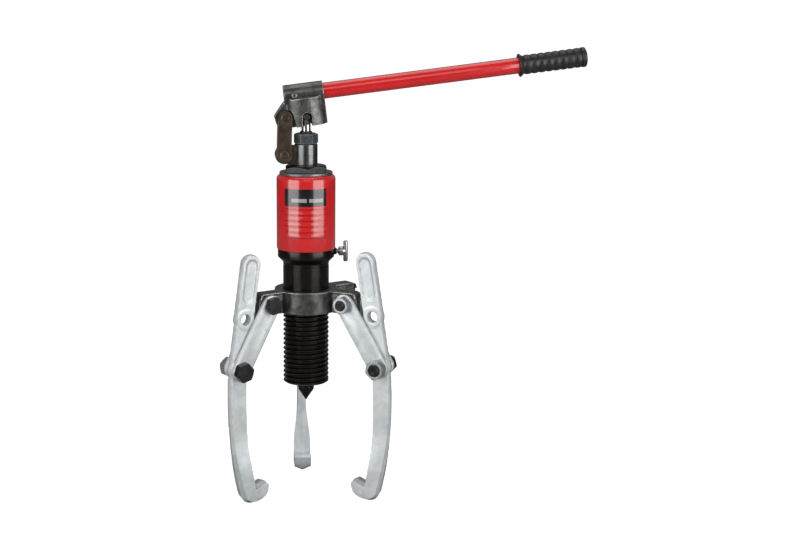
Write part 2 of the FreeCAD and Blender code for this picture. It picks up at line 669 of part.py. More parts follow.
def build():
    nodes = {
        "threaded_barrel": threaded_barrel(),
        "rod_guide": rod_guide(),
        "cylinder_head": cylinder_head(),
        "core_tube": core_tube(),
        "reservoir_shell": reservoir_shell(),
        "label": label(),
        "oil_bladder": oil_bladder(),
        "clamp_washer": clamp_washer(),
        "lock_nut": lock_nut(),
        "pump_body": pump_body(),
        "gland_nut": gland_nut(),
        "plunger_seal": plunger_seal(),
        "wiper_seal": wiper_seal(),
        "check_balls": check_balls(),
        "check_springs": check_springs(),
        "valve_gland": valve_gland(),
        "ram_rod": ram_rod(),
        "piston_head": piston_head(),
        "piston_seal": piston_seal(),
        "centre_point": centre_point(),
        "return_spring": return_spring(),
        "release_spindle": release_spindle(),
        "release_tbar": release_tbar(),
        "link_front": link_plate(-1),
        "link_rear": link_plate(1),
        "link_lower_pin": link_pin(LINK_FOOT),
        "link_upper_pin": link_pin(LINK_HEAD),
        "lever_socket": lever_socket(),
        "retaining_pin": retaining_pin(),
        "handle_tube": handle_tube(),
        "handle_grip": handle_grip(),
        "plunger_rod": plunger_rod(),
        "plunger_pin": plunger_pin(),
        "yoke": yoke(),
    }
    for name in JAW_ANGLES:
        nodes.update(jaw_pieces(name))
    return nodes


os.makedirs("parts", exist_ok=True)
for node, shape in build().items():
    shape.exportStep("parts/" + node + ".step")
    box = shape.BoundBox
    print("%-24s solids %d valid %s volume %.0f  z %.1f to %.1f" % (
        node, len(shape.Solids), shape.isValid(), shape.Volume, box.ZMin, box.ZMax))
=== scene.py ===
import json
import math

import bmesh
import bpy
from bpy.props import FloatProperty, FloatVectorProperty, IntProperty, PointerProperty
from mathutils import Matrix, Vector


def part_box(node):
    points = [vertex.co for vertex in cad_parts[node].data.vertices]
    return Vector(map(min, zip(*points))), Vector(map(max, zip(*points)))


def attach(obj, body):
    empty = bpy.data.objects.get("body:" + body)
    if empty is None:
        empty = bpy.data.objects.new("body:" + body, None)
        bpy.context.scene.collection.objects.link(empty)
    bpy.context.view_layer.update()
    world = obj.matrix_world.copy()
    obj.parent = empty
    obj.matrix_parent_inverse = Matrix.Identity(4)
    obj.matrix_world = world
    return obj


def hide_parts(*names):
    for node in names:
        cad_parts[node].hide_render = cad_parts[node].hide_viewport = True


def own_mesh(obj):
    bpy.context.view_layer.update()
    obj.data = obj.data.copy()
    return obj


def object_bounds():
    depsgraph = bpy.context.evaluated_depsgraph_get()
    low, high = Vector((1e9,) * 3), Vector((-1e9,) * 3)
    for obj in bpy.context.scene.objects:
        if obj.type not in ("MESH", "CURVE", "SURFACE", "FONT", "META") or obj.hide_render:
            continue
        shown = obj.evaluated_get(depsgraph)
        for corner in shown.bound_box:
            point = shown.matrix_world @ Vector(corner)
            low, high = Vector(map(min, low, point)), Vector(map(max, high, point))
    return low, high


bl_info = {
    "name": "Hydraulic gear puller",
    "version": (1, 0, 0),
    "blender": (4, 5, 0),
    "location": "View3D > Sidebar > Gear puller",
    "description": "Builds the visible pieces of a three-jaw hydraulic gear puller around its frame",
    "category": "Object",
}

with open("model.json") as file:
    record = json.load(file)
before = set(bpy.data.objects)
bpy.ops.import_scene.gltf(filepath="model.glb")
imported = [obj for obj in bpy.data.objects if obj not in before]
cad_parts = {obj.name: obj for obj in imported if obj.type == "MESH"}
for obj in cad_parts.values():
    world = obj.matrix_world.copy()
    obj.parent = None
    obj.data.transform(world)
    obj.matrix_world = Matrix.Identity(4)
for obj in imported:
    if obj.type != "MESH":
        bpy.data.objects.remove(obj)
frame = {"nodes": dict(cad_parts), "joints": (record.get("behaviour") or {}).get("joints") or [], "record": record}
CAD_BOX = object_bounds()

MM = 0.001
WELD_GAP = 0.00001
NODES = frame["nodes"]
BODY_OF = {node: body for body, nodes in frame["record"]["behaviour"]["bodies"].items()
           for node in nodes}
SLOT_OF = {row["node"]: row["material_slot"] for row in frame["record"]["subparts"]}
JOINTS = {joint["name"]: joint for joint in frame["joints"]}
JAWS = ("rear", "left", "right")

# Sizes from here on are in millimetres, and angles in degrees, where nothing else is said.
UP = (0.0, 0.0, 1.0)
ALONG_X = Matrix.Rotation(math.radians(90.0), 4, "Y")
ALONG_Y = Matrix.Rotation(math.radians(90.0), 4, "X")
LINK_FOOT, LINK_HEAD, LINK_HOLE = (-22.8, 262.0), (-21.7, 300.2), 3.3
HANDLE_TILT = 7.07
HANDLE_Z = 325.0
HANDLE = (Matrix.Translation((0.0, 0.0, HANDLE_Z))
          @ Matrix.Rotation(math.radians(90.0 - HANDLE_TILT), 4, "Y"))


# ---- settings

# Each finish: name shown, colour, second colour that the grain brings in, colour of worn edges, which also paints
# a highlight along them.
COLOURS = {
    "black_steel": ("Blackened barrel", (0.022, 0.020, 0.018), (0.042, 0.036, 0.031),
                    (0.17, 0.155, 0.14)),
    "grey_steel": ("Turned pump steel", (0.20, 0.20, 0.20), (0.12, 0.125, 0.13), (0.50, 0.50, 0.50)),
    "dark_steel": ("Dark nuts", (0.17, 0.19, 0.21), (0.11, 0.125, 0.14), (0.66, 0.67, 0.69)),
    "bright_steel": ("Bright ground steel", (0.52, 0.52, 0.51), (0.38, 0.38, 0.38), (0.75, 0.75, 0.75)),
    "brown_steel": ("Brown link steel", (0.082, 0.066, 0.043), (0.050, 0.030, 0.022),
                    (0.26, 0.20, 0.15)),
    "cast_grey": ("Dark cast steel", (0.155, 0.155, 0.150), (0.070, 0.070, 0.069), (0.56, 0.56, 0.54)),
    "red_enamel": ("Red enamel", (0.74, 0.010, 0.012), (0.64, 0.007, 0.010), (0.78, 0.05, 0.05)),
    "label_print": ("Printed label", (0.74, 0.010, 0.012), (0.006, 0.006, 0.006), (0.62, 0.60, 0.58)),
    "rubber": ("Black seals", (0.012, 0.012, 0.012), (0.020, 0.020, 0.020), (0.05, 0.05, 0.05)),
    "grip_rubber": ("Grip rubber", (0.014, 0.014, 0.015), (0.026, 0.026, 0.028), (0.06, 0.06, 0.06)),
    "zinc_steel": ("Zinc plate", (0.80, 0.82, 0.82), (0.62, 0.665, 0.69), (0.90, 0.90, 0.90)),
    "zinc_nut": ("Zinc nuts", (0.62, 0.63, 0.63), (0.44, 0.47, 0.49), (0.80, 0.80, 0.80)),
    "black_bolt": ("Black bolts", (0.016, 0.016, 0.017), (0.030, 0.030, 0.032), (0.12, 0.12, 0.12)),
}


class GearPullerColours(bpy.types.PropertyGroup):
    """Main colour of each finish"""
    __annotations__ = {
        slot: FloatVectorProperty(name=row[0], description=f"Main colour of the {row[0].lower()}",
                                  subtype="COLOR", size=3, min=0.0, max=1.0, default=row[1])
        for slot, row in COLOURS.items()
    }


# Each size: kind of property, name, description, default, lowest and highest value.
SIZES = {
    "thread_pitch": (FloatProperty, "Thread pitch", "Rise of the barrel's screw thread in one turn",
                     5.0, 1.0, 10.0),
    "thread_depth": (FloatProperty, "Thread depth", "Depth of the barrel's screw thread",
                     2.3, 0.2, 2.4),
    "forged_grid": (FloatProperty, "Forging grid", "Mesh size of the forged and cast pieces",
                    0.7, 0.3, 3.0),
    "forged_draft": (FloatProperty, "Forging draft",
                     "How far the jaws' edges fall back from their parting line", 0.75, 0.0, 2.0),
    "plate_round": (FloatProperty, "Plate edge", "Rounding of the edges of straps and links",
                    0.7, 0.1, 2.0),
    "grip_rings": (IntProperty, "Grip rings", "Number of soft rings round the grip", 9, 3, 20),
    "columns": (IntProperty, "Turned steps", "Steps round a turned piece", 96, 24, 256),
}


class GearPullerSizes(bpy.types.PropertyGroup):
    """Sizes of the visible detail, in millimetres where nothing else is said"""
    __annotations__ = {
        key: kind(name=name, description=text, default=value, min=low, max=high)
        for key, (kind, name, text, value, low, high) in SIZES.items()
    }


# ---- shader groups

def add(tree, kind, inputs=None, **settings):
    """A shader node with its settings, and its inputs joined or set."""
    node = tree.nodes.new("ShaderNode" + kind)
    for key, value in settings.items():
        setattr(node, key, value)
    for key, value in (inputs or {}).items():
        if isinstance(value, bpy.types.NodeSocket):
            tree.links.new(value, node.inputs[key])
        else:
            node.inputs[key].default_value = value
    return node


def maths(tree, operation, *values, clamp=False):
    inputs = dict(enumerate(values))
    return add(tree, "Math", inputs, operation=operation, use_clamp=clamp).outputs[0]


def times(tree, one, two, clamp=False):
    return maths(tree, "MULTIPLY", one, two, clamp=clamp)


def ramp(tree, value, low, high, to_low=0.0, to_high=1.0):
    return add(tree, "MapRange", {"Value": value, "From Min": low, "From Max": high,
                                  "To Min": to_low, "To Max": to_high},
               interpolation_type="SMOOTHSTEP").outputs["Result"]


def noise(tree, vector, scale, detail=3.0, roughness=0.55, distortion=0.0):
    return add(tree, "TexNoise", {"Vector": vector, "Scale": scale, "Detail": detail,
                                  "Roughness": roughness, "Distortion": distortion}).outputs["Fac"]


def group(name, inputs, outputs, fill):
    """A shader group with named float or vector inputs and float outputs, made once."""
    if name in bpy.data.node_groups:
        return bpy.data.node_groups[name]
    tree = bpy.data.node_groups.new(name, "ShaderNodeTree")
    for label, value in inputs.items():
        kind = "NodeSocketVector" if isinstance(value, tuple) else "NodeSocketFloat"
        socket = tree.interface.new_socket(label, in_out="INPUT", socket_type=kind)
        socket.default_value = value
    for label in outputs:
        tree.interface.new_socket(label, in_out="OUTPUT", socket_type="NodeSocketFloat")
    start = tree.nodes.new("NodeGroupInput").outputs
    end = tree.nodes.new("NodeGroupOutput").inputs
    made = fill(tree, start)
    for label in outputs:
        tree.links.new(made[label], end[label])
    return tree


def place_of(tree):
    return add(tree, "TexCoord").outputs["Object"]


def edge_wear_and_highlight(tree, start):
    """Light edges in patches: wear where hands and tools have rubbed the finish off, together with a painted
    highlight along the convex edges.
    """
    bevel = add(tree, "Bevel", {"Radius": start["Radius"]}, samples=6)
    geometry = add(tree, "NewGeometry")
    same = add(tree, "VectorMath", {0: bevel.outputs[0], 1: geometry.outputs["Normal"]},
               operation="DOT_PRODUCT").outputs["Value"]
    edge = times(tree, maths(tree, "SUBTRACT", 1.0, same), start["Gain"], clamp=True)
    outward = ramp(tree, geometry.outputs["Pointiness"], 0.500, 0.520)
    patch = ramp(tree, noise(tree, place_of(tree), start["Patch Scale"], 4.0, 0.6), 0.34, 0.60, 0.25)
    # convex edges lightened in patches: partly real wear, partly a painted highlight
    worn_and_lit = times(tree, times(tree, edge, outward), patch, clamp=True)
    return {"Mask": worn_and_lit}


def turned_lines(tree, start):
    """Fine lines left by a lathe tool, square to the axis."""
    along = add(tree, "VectorMath", {0: place_of(tree), 1: start["Axis"]},
                operation="DOT_PRODUCT").outputs["Value"]
    line = add(tree, "TexNoise", {"W": times(tree, along, start["Scale"]), "Scale": 1.0,
                                  "Detail": 3.0, "Roughness": 0.65},
               noise_dimensions="1D").outputs["Fac"]
    broad = noise(tree, place_of(tree), 70.0, 4.0, 0.6, 0.4)
    tone = maths(tree, "ADD", times(tree, line, 0.5),
                 times(tree, ramp(tree, broad, 0.35, 0.65), 0.6), clamp=True)
    return {"Tone": tone, "Height": line}


def cast_grain(tree, start):
    """Sandy skin of a casting, with small pits."""
    place = place_of(tree)
    sand = noise(tree, place, start["Scale"], 5.0, 0.65)
    pits = add(tree, "TexVoronoi", {"Vector": place, "Scale": start["Scale"]}).outputs["Distance"]
    height = maths(tree, "ADD", sand, times(tree, ramp(tree, pits, 0.0, 0.45), 0.5))
    tone = ramp(tree, noise(tree, place, times(tree, start["Scale"], 0.22), 4.0, 0.6),
                0.36, 0.64)
    return {"Tone": tone, "Height": height}


def zinc_mottle(tree, start):
    """Soft clouding of bright zinc plate over a forged skin."""
    place = place_of(tree)
    cloud = noise(tree, place, start["Scale"], 5.0, 0.62, 0.8)
    fine = times(tree, start["Scale"], 3.2)
    fleck = add(tree, "TexVoronoi", {"Vector": place, "Scale": fine},
                feature="SMOOTH_F1").outputs["Distance"]
    tone = maths(tree, "ADD", times(tree, ramp(tree, cloud, 0.36, 0.66), 0.75),
                 times(tree, fleck, 0.35), clamp=True)
    skin = noise(tree, place, times(tree, start["Scale"], 5.0), 4.0, 0.6)
    return {"Tone": tone, "Height": maths(tree, "ADD", skin, times(tree, cloud, 0.8))}


def paint_skin(tree, start):
    """Slight ripple of sprayed enamel, or the fine grain of moulded rubber."""
    place = place_of(tree)
    ripple = noise(tree, place, start["Scale"], 2.0, 0.5)
    tone = ramp(tree, noise(tree, place, times(tree, start["Scale"], 0.15), 3.0), 0.3, 0.7)
    return {"Tone": tone, "Height": ripple}


def handling(tree, start):
    """Broad patches where oil and hands have changed the gloss."""
    smear = noise(tree, place_of(tree), start["Scale"], 5.0, 0.68, 1.2)
    return {"Mask": ramp(tree, smear, 0.34, 0.68)}


GRAINS = {"turned": ("Turned lines", turned_lines), "cast": ("Cast grain", cast_grain),
          "zinc": ("Zinc mottle", zinc_mottle), "skin": ("Paint skin", paint_skin)}

# Each finish: grain, its scale per metre, bump strength and depth in metres, metallic,
# roughness from and to, coat, gain and radius in metres of the edge wear with its painted edge highlight.
FINISH = {
    "black_steel": ("turned", 900.0, 0.20, 0.00005, 0.90, 0.16, 0.26, 0.0, 4.0, 0.0014),
    "grey_steel": ("turned", 1100.0, 0.25, 0.00005, 0.95, 0.22, 0.36, 0.0, 5.0, 0.0010),
    "dark_steel": ("cast", 700.0, 0.16, 0.00008, 0.60, 0.24, 0.38, 0.0, 10.0, 0.0016),
    "bright_steel": ("turned", 1500.0, 0.18, 0.00004, 1.00, 0.16, 0.30, 0.0, 2.0, 0.0006),
    "brown_steel": ("cast", 500.0, 0.35, 0.00022, 0.60, 0.36, 0.54, 0.0, 5.0, 0.0014),
    "cast_grey": ("cast", 420.0, 0.50, 0.00034, 0.80, 0.22, 0.40, 0.0, 12.0, 0.0026),
    "red_enamel": ("skin", 260.0, 0.05, 0.00010, 0.00, 0.20, 0.27, 1.0, 0.8, 0.0010),
    "rubber": ("skin", 1800.0, 0.20, 0.00006, 0.00, 0.45, 0.58, 0.0, 1.0, 0.0006),
    "grip_rubber": ("skin", 1500.0, 0.22, 0.00007, 0.00, 0.30, 0.42, 0.0, 1.2, 0.0010),
    "zinc_steel": ("zinc", 70.0, 0.32, 0.00045, 0.35, 0.34, 0.50, 0.0, 4.0, 0.0016),
    "zinc_nut": ("zinc", 160.0, 0.20, 0.00010, 0.90, 0.26, 0.38, 0.0, 2.6, 0.0007),
    "black_bolt": ("cast", 800.0, 0.22, 0.00010, 0.65, 0.26, 0.40, 0.0, 6.0, 0.0012),
}


# Painted shade: bright plating is greyed where its surface turns away from the view, standing in for the dark
# studio flags it would reflect.
PAINTED_RIM_SHADE = {"zinc_steel": (0.16, 0.17, 0.175), "zinc_nut": (0.14, 0.145, 0.15)}


def mix(tree, factor, one, two):
    """Two colours mixed by a factor."""
    return add(tree, "Mix", {0: factor, 6: one, 7: two}, data_type="RGBA").outputs[2]


def opaque(colour):
    return (*colour, 1.0)


def placed_group(tree, name, build, values, outputs):
    """The outputs of a shader group with its inputs set."""
    made = group(name, values, outputs, build)
    return add(tree, "Group", values, node_tree=made).outputs


def new_material(name):
    material = bpy.data.materials.new(name)
    material.use_nodes = True
    return material, material.node_tree, material.node_tree.nodes["Principled BSDF"]


def join_up(tree, shader, base, gloss, roughness, height, bump, coat):
    """Joins colour, roughness between two values, bump and clear coat to the shader."""
    tree.links.new(base, shader.inputs["Base Color"])
    tree.links.new(ramp(tree, gloss, 0.0, 1.0, *roughness), shader.inputs["Roughness"])
    raised = add(tree, "Bump", {"Strength": bump[0], "Distance": bump[1], "Height": height})
    tree.links.new(raised.outputs["Normal"], shader.inputs["Normal"])
    shader.inputs["Coat Weight"].default_value = coat
    if coat:
        shader.inputs["Coat Roughness"].default_value = 0.06
        shader.inputs["Coat IOR"].default_value = 1.55


def finish(slot, axis=UP):
    """The material of one finish; turned steel also needs the axis it was turned on."""
    if slot == "label_print":
        return label_print()
    grain, scale, strength, depth, metallic, smooth, rough, coat, gain, radius = FINISH[slot]
    name = "finish_" + slot
    if grain == "turned" and axis != UP:
        name += "_tilted" if axis[2] else "_across"
    if name in bpy.data.materials:
        return bpy.data.materials[name]
    material, tree, shader = new_material(name)
    colour = tuple(getattr(bpy.context.scene.puller_colours, slot))
    second, worn_and_lit = COLOURS[slot][2:]
    label, build = GRAINS[grain]
    values = {"Scale": scale, "Axis": axis} if grain == "turned" else {"Scale": scale}
    skin = placed_group(tree, label, build, values, ("Tone", "Height"))
    wear_and_highlight = placed_group(tree, "Edge wear", edge_wear_and_highlight,
                        {"Radius": radius, "Gain": gain, "Patch Scale": 120.0}, ("Mask",))
    hands = placed_group(tree, "Handling", handling, {"Scale": 28.0}, ("Mask",))
    base = mix(tree, skin["Tone"], opaque(colour), opaque(second))
    # real edge wear together with a painted highlight along convex edges
    base = mix(tree, wear_and_highlight["Mask"], base, opaque(worn_and_lit))
    # painted shade: bright plating greyed towards its rims, where it faces away from the view
    if slot in PAINTED_RIM_SHADE:
        away = add(tree, "LayerWeight", {"Blend": 0.5}).outputs["Facing"]
        base = mix(tree, ramp(tree, away, 0.52, 0.92, 0.0, 0.72), base, opaque(PAINTED_RIM_SHADE[slot]))
    shader.inputs["Metallic"].default_value = metallic
    join_up(tree, shader, base, hands["Mask"], (smooth, rough), skin["Height"], (strength, depth), coat)
    return material


LABEL_TOP = 229.5
LABEL_HEADER = 18.0
RULE_PITCH = 5.95
LABEL_TURN = math.radians(5.0)
LABEL_REACH = math.radians(44.6)
LABEL_BORDER = math.radians(1.3)


def label_marks(tree, start):
    """Masks of the label: its dark header, thin rules, and rows of plain bars that spell nothing."""
    place = add(tree, "SeparateXYZ", {"Vector": place_of(tree)}).outputs
    angle = maths(tree, "ARCTAN2", place["X"], times(tree, place["Y"], -1.0))
    angle = maths(tree, "ADD", angle, LABEL_TURN)
    high = times(tree, place["Z"], 1000.0)

    def span(value, low, end):
        return times(tree, maths(tree, "GREATER_THAN", value, low),
                     maths(tree, "LESS_THAN", value, end))

    side = ramp(tree, maths(tree, "ABSOLUTE", angle), start["Reach"],
                maths(tree, "ADD", start["Reach"], 0.008), 1.0, 0.0)
    header = times(tree, maths(tree, "GREATER_THAN", high, start["Header"]), side)
    row = maths(tree, "DIVIDE", maths(tree, "SUBTRACT", start["Header"], high), start["Pitch"])
    number = maths(tree, "FLOOR", row)
    near = maths(tree, "ABSOLUTE", maths(tree, "SUBTRACT", maths(tree, "FRACT", row), 0.5))
    rule = times(tree, maths(tree, "LESS_THAN", near, 0.07),
                 times(tree, span(row, 0.3, 6.1), side))
    place_in = add(tree, "CombineXYZ", {"X": 0.4, "Y": times(tree, number, 7.3)}).outputs[0]
    longer = ramp(tree, noise(tree, place_in, 1.6, 0.0), 0.3, 0.7, 0.0, 0.24)
    left = span(angle, -0.57, maths(tree, "ADD", longer, -0.24))
    right = span(angle, 0.20, maths(tree, "ADD", longer, 0.37))
    between = times(tree, maths(tree, "GREATER_THAN", near, 0.32), span(row, 0.6, 6.0))
    bars = times(tree, maths(tree, "ADD", left, right), between)
    in_header = maths(tree, "SUBTRACT", high, start["Header"])
    words = maths(tree, "ADD", span(angle, -0.49, 0.05), span(angle, 0.13, 0.62))
    title = times(tree, span(in_header, 4.4, 8.2), words)
    return {"Header": header, "Rules": rule, "Bars": bars, "Title": title}


def label_print():
    """Red plate with a dark header, thin rules and pale bars, under the same gloss as the enamel."""
    material, tree, shader = new_material("finish_label_print")
    red = tuple(bpy.context.scene.puller_colours.label_print)
    black, pale = COLOURS["label_print"][2:]
    marks = placed_group(tree, "Label marks", label_marks,
                         {"Reach": LABEL_REACH - LABEL_BORDER, "Header": LABEL_TOP - LABEL_HEADER,
                          "Pitch": RULE_PITCH}, ("Header", "Rules", "Bars", "Title"))
    skin = placed_group(tree, "Paint skin", paint_skin, {"Scale": 300.0}, ("Tone", "Height"))
    base = mix(tree, marks["Rules"], opaque(red), opaque((0.13, 0.004, 0.005)))
    base = mix(tree, times(tree, marks["Bars"], 0.26), base, opaque(pale))
    base = mix(tree, marks["Header"], base, opaque(black))
    base = mix(tree, times(tree, marks["Title"], 0.62), base, opaque(pale))
    join_up(tree, shader, base, skin["Tone"], (0.20, 0.28), skin["Height"], (0.05, 0.0001), 1.0)
    return material


# ---- mesh tools, in millimetres

def clamp(value):
    return min(max(value, 0.0), 1.0)


def ease(value):
    """Smooth step from 0 to 1."""
    t = clamp(value)
    return t * t * (3.0 - 2.0 * t)


def polar(radius, angle, height):
    return radius * math.cos(angle), radius * math.sin(angle), height


SMALL = 40  # steps round small screws and pins


def soften(points, closed=True, steps=3):
    """A line of (a, b) or (a, b, radius) points with its corners rounded."""
    out = []
    for k, point in enumerate(points):
        corner = Vector(point[:2])
        end = not closed and k in (0, len(points) - 1)
        if len(point) == 2 or end:
            out.append(corner)
            continue
        back = Vector(points[k - 1][:2]) - corner
        on = Vector(points[(k + 1) % len(points)][:2]) - corner
        half = back.angle(on) / 2.0
        reach = min(point[2] / math.tan(half), 0.46 * min(back.length, on.length))
        radius = reach * math.tan(half)
        middle = (back.normalized() + on.normalized()).normalized()
        centre = corner + middle * (radius / math.sin(half))
        first = corner + back.normalized() * reach - centre
        last = corner + on.normalized() * reach - centre
        for s in range(steps + 1):
            t = s / steps
            out.append(centre + (first * (1.0 - t) + last * t).normalized() * radius)
    return out


def join_rows(bm, rows, closed=False):
    """Faces between rings of vertices."""
    count = len(rows)
    for k in range(count if closed else count - 1):
        a, b = rows[k], rows[(k + 1) % count]
        for i in range(len(a)):
            j = (i + 1) % len(a)
            bm.faces.new((a[i], a[j], b[j], b[i]))


def lathe(bm, profile, columns, closed=True):
    """Turns a profile of (radius, height) points about Z."""
    rows = [[bm.verts.new(polar(radius, math.tau * i / columns, height)) for i in range(columns)]
            for radius, height in soften(profile, closed)]
    join_rows(bm, rows, closed)


def screw(bm, radius, pitch, depth, low, high, columns, rows=12, crest=0.16, root=0.38,
          runout=0.45):
    """Wall of a right-handed screw thread about Z; crest, root and runout are shares of its pitch."""
    step = pitch / rows
    top = int(math.ceil((high - low) / step)) + 1
    made = {}

    def vertex(i, j):
        if i == columns:
            i, j = 0, j + rows
        j = min(j, top)
        if (i, j) not in made:
            raw = low + (j + rows * i / columns) * step
            height = min(max(raw, low), high)
            phase = abs((j / rows) % 1.0 - 0.5) * 2.0
            cut = ease((phase - crest) / (1.0 - root - crest))
            ends = clamp(min(height - low, high - height) / (pitch * runout))
            r = radius - depth * cut * ends
            made[(i, j)] = bm.verts.new(polar(r, math.tau * i / columns, height))
        return made[(i, j)]

    for i in range(columns):
        for j in range(-rows, top):
            corners = (vertex(i, j), vertex(i + 1, j), vertex(i + 1, j + 1), vertex(i, j + 1))
            if len(set(corners)) == 4:
                bm.faces.new(corners)


def coil(bm, mean, wire, pitch, low, high, steps=36, sides=10):
    """A round wire wound into a helix about Z."""
    rows = [[bm.verts.new(polar(p.x, math.tau * k / steps, p.y))
             for p in circle((mean, low + pitch * k / steps), wire, sides)]
            for k in range(int(steps * (high - low) / pitch) + 1)]
    join_rows(bm, rows)
    bm.faces.new(rows[0])
    bm.faces.new(rows[-1])


def hexagon(bm, across, low, high, bore=0.0, turn=0.0, both=True, columns=72):
    """A hexagon nut or bolt head about Z, its corners cut by the usual 30 degree cone."""
    flat = across / 2.0
    inner, corner = flat * 0.94, flat * 1.145
    slope = math.tan(math.radians(30.0))

    def ring(radius, height):
        row = []
        for i in range(columns):
            a = math.tau * i / columns
            r, z = radius, height
            if radius is None:
                r = flat / math.cos(math.radians((math.degrees(a) % 60.0) - 30.0))
                r = min(r, corner)
                drop = (r - inner) * slope
                z = high - drop if height == high else low + drop * (1.0 if both else 0.2)
            row.append(bm.verts.new(polar(r, a + math.radians(turn), z)))
        return row

    hole = max(bore, 0.01)
    lip = 0.7 if bore else 0.0
    rows = [ring(hole + lip, low), ring(inner, low), ring(None, low), ring(None, high),
            ring(inner, high), ring(hole + lip, high)]
    if bore:
        rows += [ring(hole, high - lip), ring(hole, low + lip)]
        join_rows(bm, rows, True)
    else:
        join_rows(bm, rows)


def arc(centre, radius, start, end, steps):
    """Points on an arc, angles in degrees."""
    points = []
    for k in range(steps + 1):
        a = math.radians(start + (end - start) * k / steps)
        points.append(Vector((centre[0] + radius * math.cos(a), centre[1] + radius * math.sin(a))))
    return points


def circle(centre, radius, steps=40):
    return arc(centre, radius, 0.0, 360.0, steps)[:-1]


def stadium(one, two, radius, steps=24):
    """Outline round two equal circles, from one to two."""
    heading = math.degrees(math.atan2(two[1] - one[1], two[0] - one[0]))
    return (arc(one, radius, heading + 90.0, heading + 270.0, steps)
            + arc(two, radius, heading - 90.0, heading + 90.0, steps))


def plate(bm, outline, holes, low, high, rim, steps=3):
    """A flat plate between two heights, with holes and rounded edges."""
    def area(loop):
        return sum(p.x * q.y - q.x * p.y for p, q in zip(loop, loop[1:] + loop[:1]))

    caps = ([], [])
    for k, loop in enumerate([outline] + list(holes)):
        if (area(loop) > 0.0) != (k == 0):
            loop = loop[::-1]
        inward = []
        for i in range(len(loop)):
            along = (loop[(i + 1) % len(loop)] - loop[i - 1]).normalized()
            inward.append(Vector((-along.y, along.x)))
        levels = []
        for s in range(steps + 1):
            a = math.radians(90.0 * s / steps)
            levels.append((rim * (1.0 - math.sin(a)), low + rim * (1.0 - math.cos(a))))
        levels += [(inset, high + low - z) for inset, z in reversed(levels)]
        rows = [[bm.verts.new((*(p + n * inset), z)) for p, n in zip(loop, inward)]
                for inset, z in levels]
        join_rows(bm, rows)
        for cap, row in zip(caps, (rows[0], rows[-1])):
            for i in range(len(row)):
                cap.append(bm.edges.get((row[i], row[(i + 1) % len(row)])))
    for cap in caps:
        bmesh.ops.triangle_fill(bm, edges=cap, use_beauty=True)


def show(name, data):
    """A new object in the scene."""
    obj = bpy.data.objects.new(name, data)
    bpy.context.scene.collection.objects.link(obj)
    return obj


def mesh_of(name, bm):
    mesh = bpy.data.meshes.new(name)
    bm.to_mesh(mesh)
    bm.free()
    return mesh


def piece(name, bm, node, place=None, **look):
    """Turns a mesh in millimetres into a piece that rides with the node's body."""
    bmesh.ops.remove_doubles(bm, verts=bm.verts, dist=0.004)
    bmesh.ops.recalc_face_normals(bm, faces=bm.faces)
    bm.transform(Matrix.Scale(MM, 4) @ (place or Matrix.Identity(4)))
    return dress(name, mesh_of(name, bm), node, **look)


def dress(name, mesh, node, slot=None, stands=True, crease=32.0, axis=UP):
    """Gives a mesh its finish and its body; it stands for its node unless it is told not to."""
    obj = show(name, mesh)
    slot = slot or SLOT_OF[node]
    mesh.materials.clear()
    mesh.materials.append(finish(slot, axis))
    mesh.shade_smooth()
    if crease:
        mesh.set_sharp_from_angle(angle=math.radians(crease))
    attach(obj, BODY_OF[node])
    if stands:
        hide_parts(node)
    return obj


def turned_piece(name, profile, node, place=None, columns=None, **look):
    bm = bmesh.new()
    lathe(bm, profile, columns or bpy.context.scene.puller_sizes.columns)
    return piece(name, bm, node, place, **look)


def modify(obj, kind, **settings):
    modifier = obj.modifiers.new(kind.lower(), kind)
    for key, value in settings.items():
        setattr(modifier, key, value)


def skin_of(node, grid, rounds):
    """A copy of a node's surface as an even mesh with soft edges, in metres."""
    source = show("source", NODES[node].data.copy())
    modify(source, "WELD", merge_threshold=WELD_GAP)
    modify(source, "REMESH", mode="VOXEL", voxel_size=grid * MM)
    modify(source, "SMOOTH", factor=0.5, iterations=rounds)
    ready = source.evaluated_get(bpy.context.evaluated_depsgraph_get())
    mesh = bpy.data.meshes.new_from_object(ready)
    old = source.data
    bpy.data.objects.remove(source)
    bpy.data.meshes.remove(old)
    return mesh


def keep_clear(mesh, centre, axis, radius, reach=None, skin=0.0004):
    """Opens a round hole to its full radius and trues up its wall, in metres."""
    centre, axis = Vector(centre), Vector(axis).normalized()
    for v in mesh.vertices:
        offset = v.co - centre
        along = offset.dot(axis)
        if reach and abs(along) > reach:
            continue
        out = offset - axis * along
        if 0.0 < out.length < radius + skin:
            v.co = centre + axis * along + out.normalized() * max(out.length, radius)


def box_mm(node):
    low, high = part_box(node)
    return low / MM, high / MM


def jaw_plane(name):
    """Matrix from a jaw's own plane (out, up, towards the nuts) to the frame, in millimetres."""
    axis = Vector(JOINTS["strap_swing_" + name]["axis"]).normalized()
    out = Vector((-axis.y, axis.x, 0.0))
    return Matrix((out, UP, axis)).transposed().to_4x4()


def pivot(name, joint):
    """Distance out and height of a jaw's pivot, in its own plane."""
    x, y, z = JOINTS[joint + name]["pos_m"]
    return math.hypot(x, y) / MM, z / MM


# ---- pieces

class Builder:
    """What the operators have in common."""
    bl_options = {"REGISTER"}

    def execute(self, context):
        self.build(context.scene.puller_sizes)
        return {"FINISHED"}


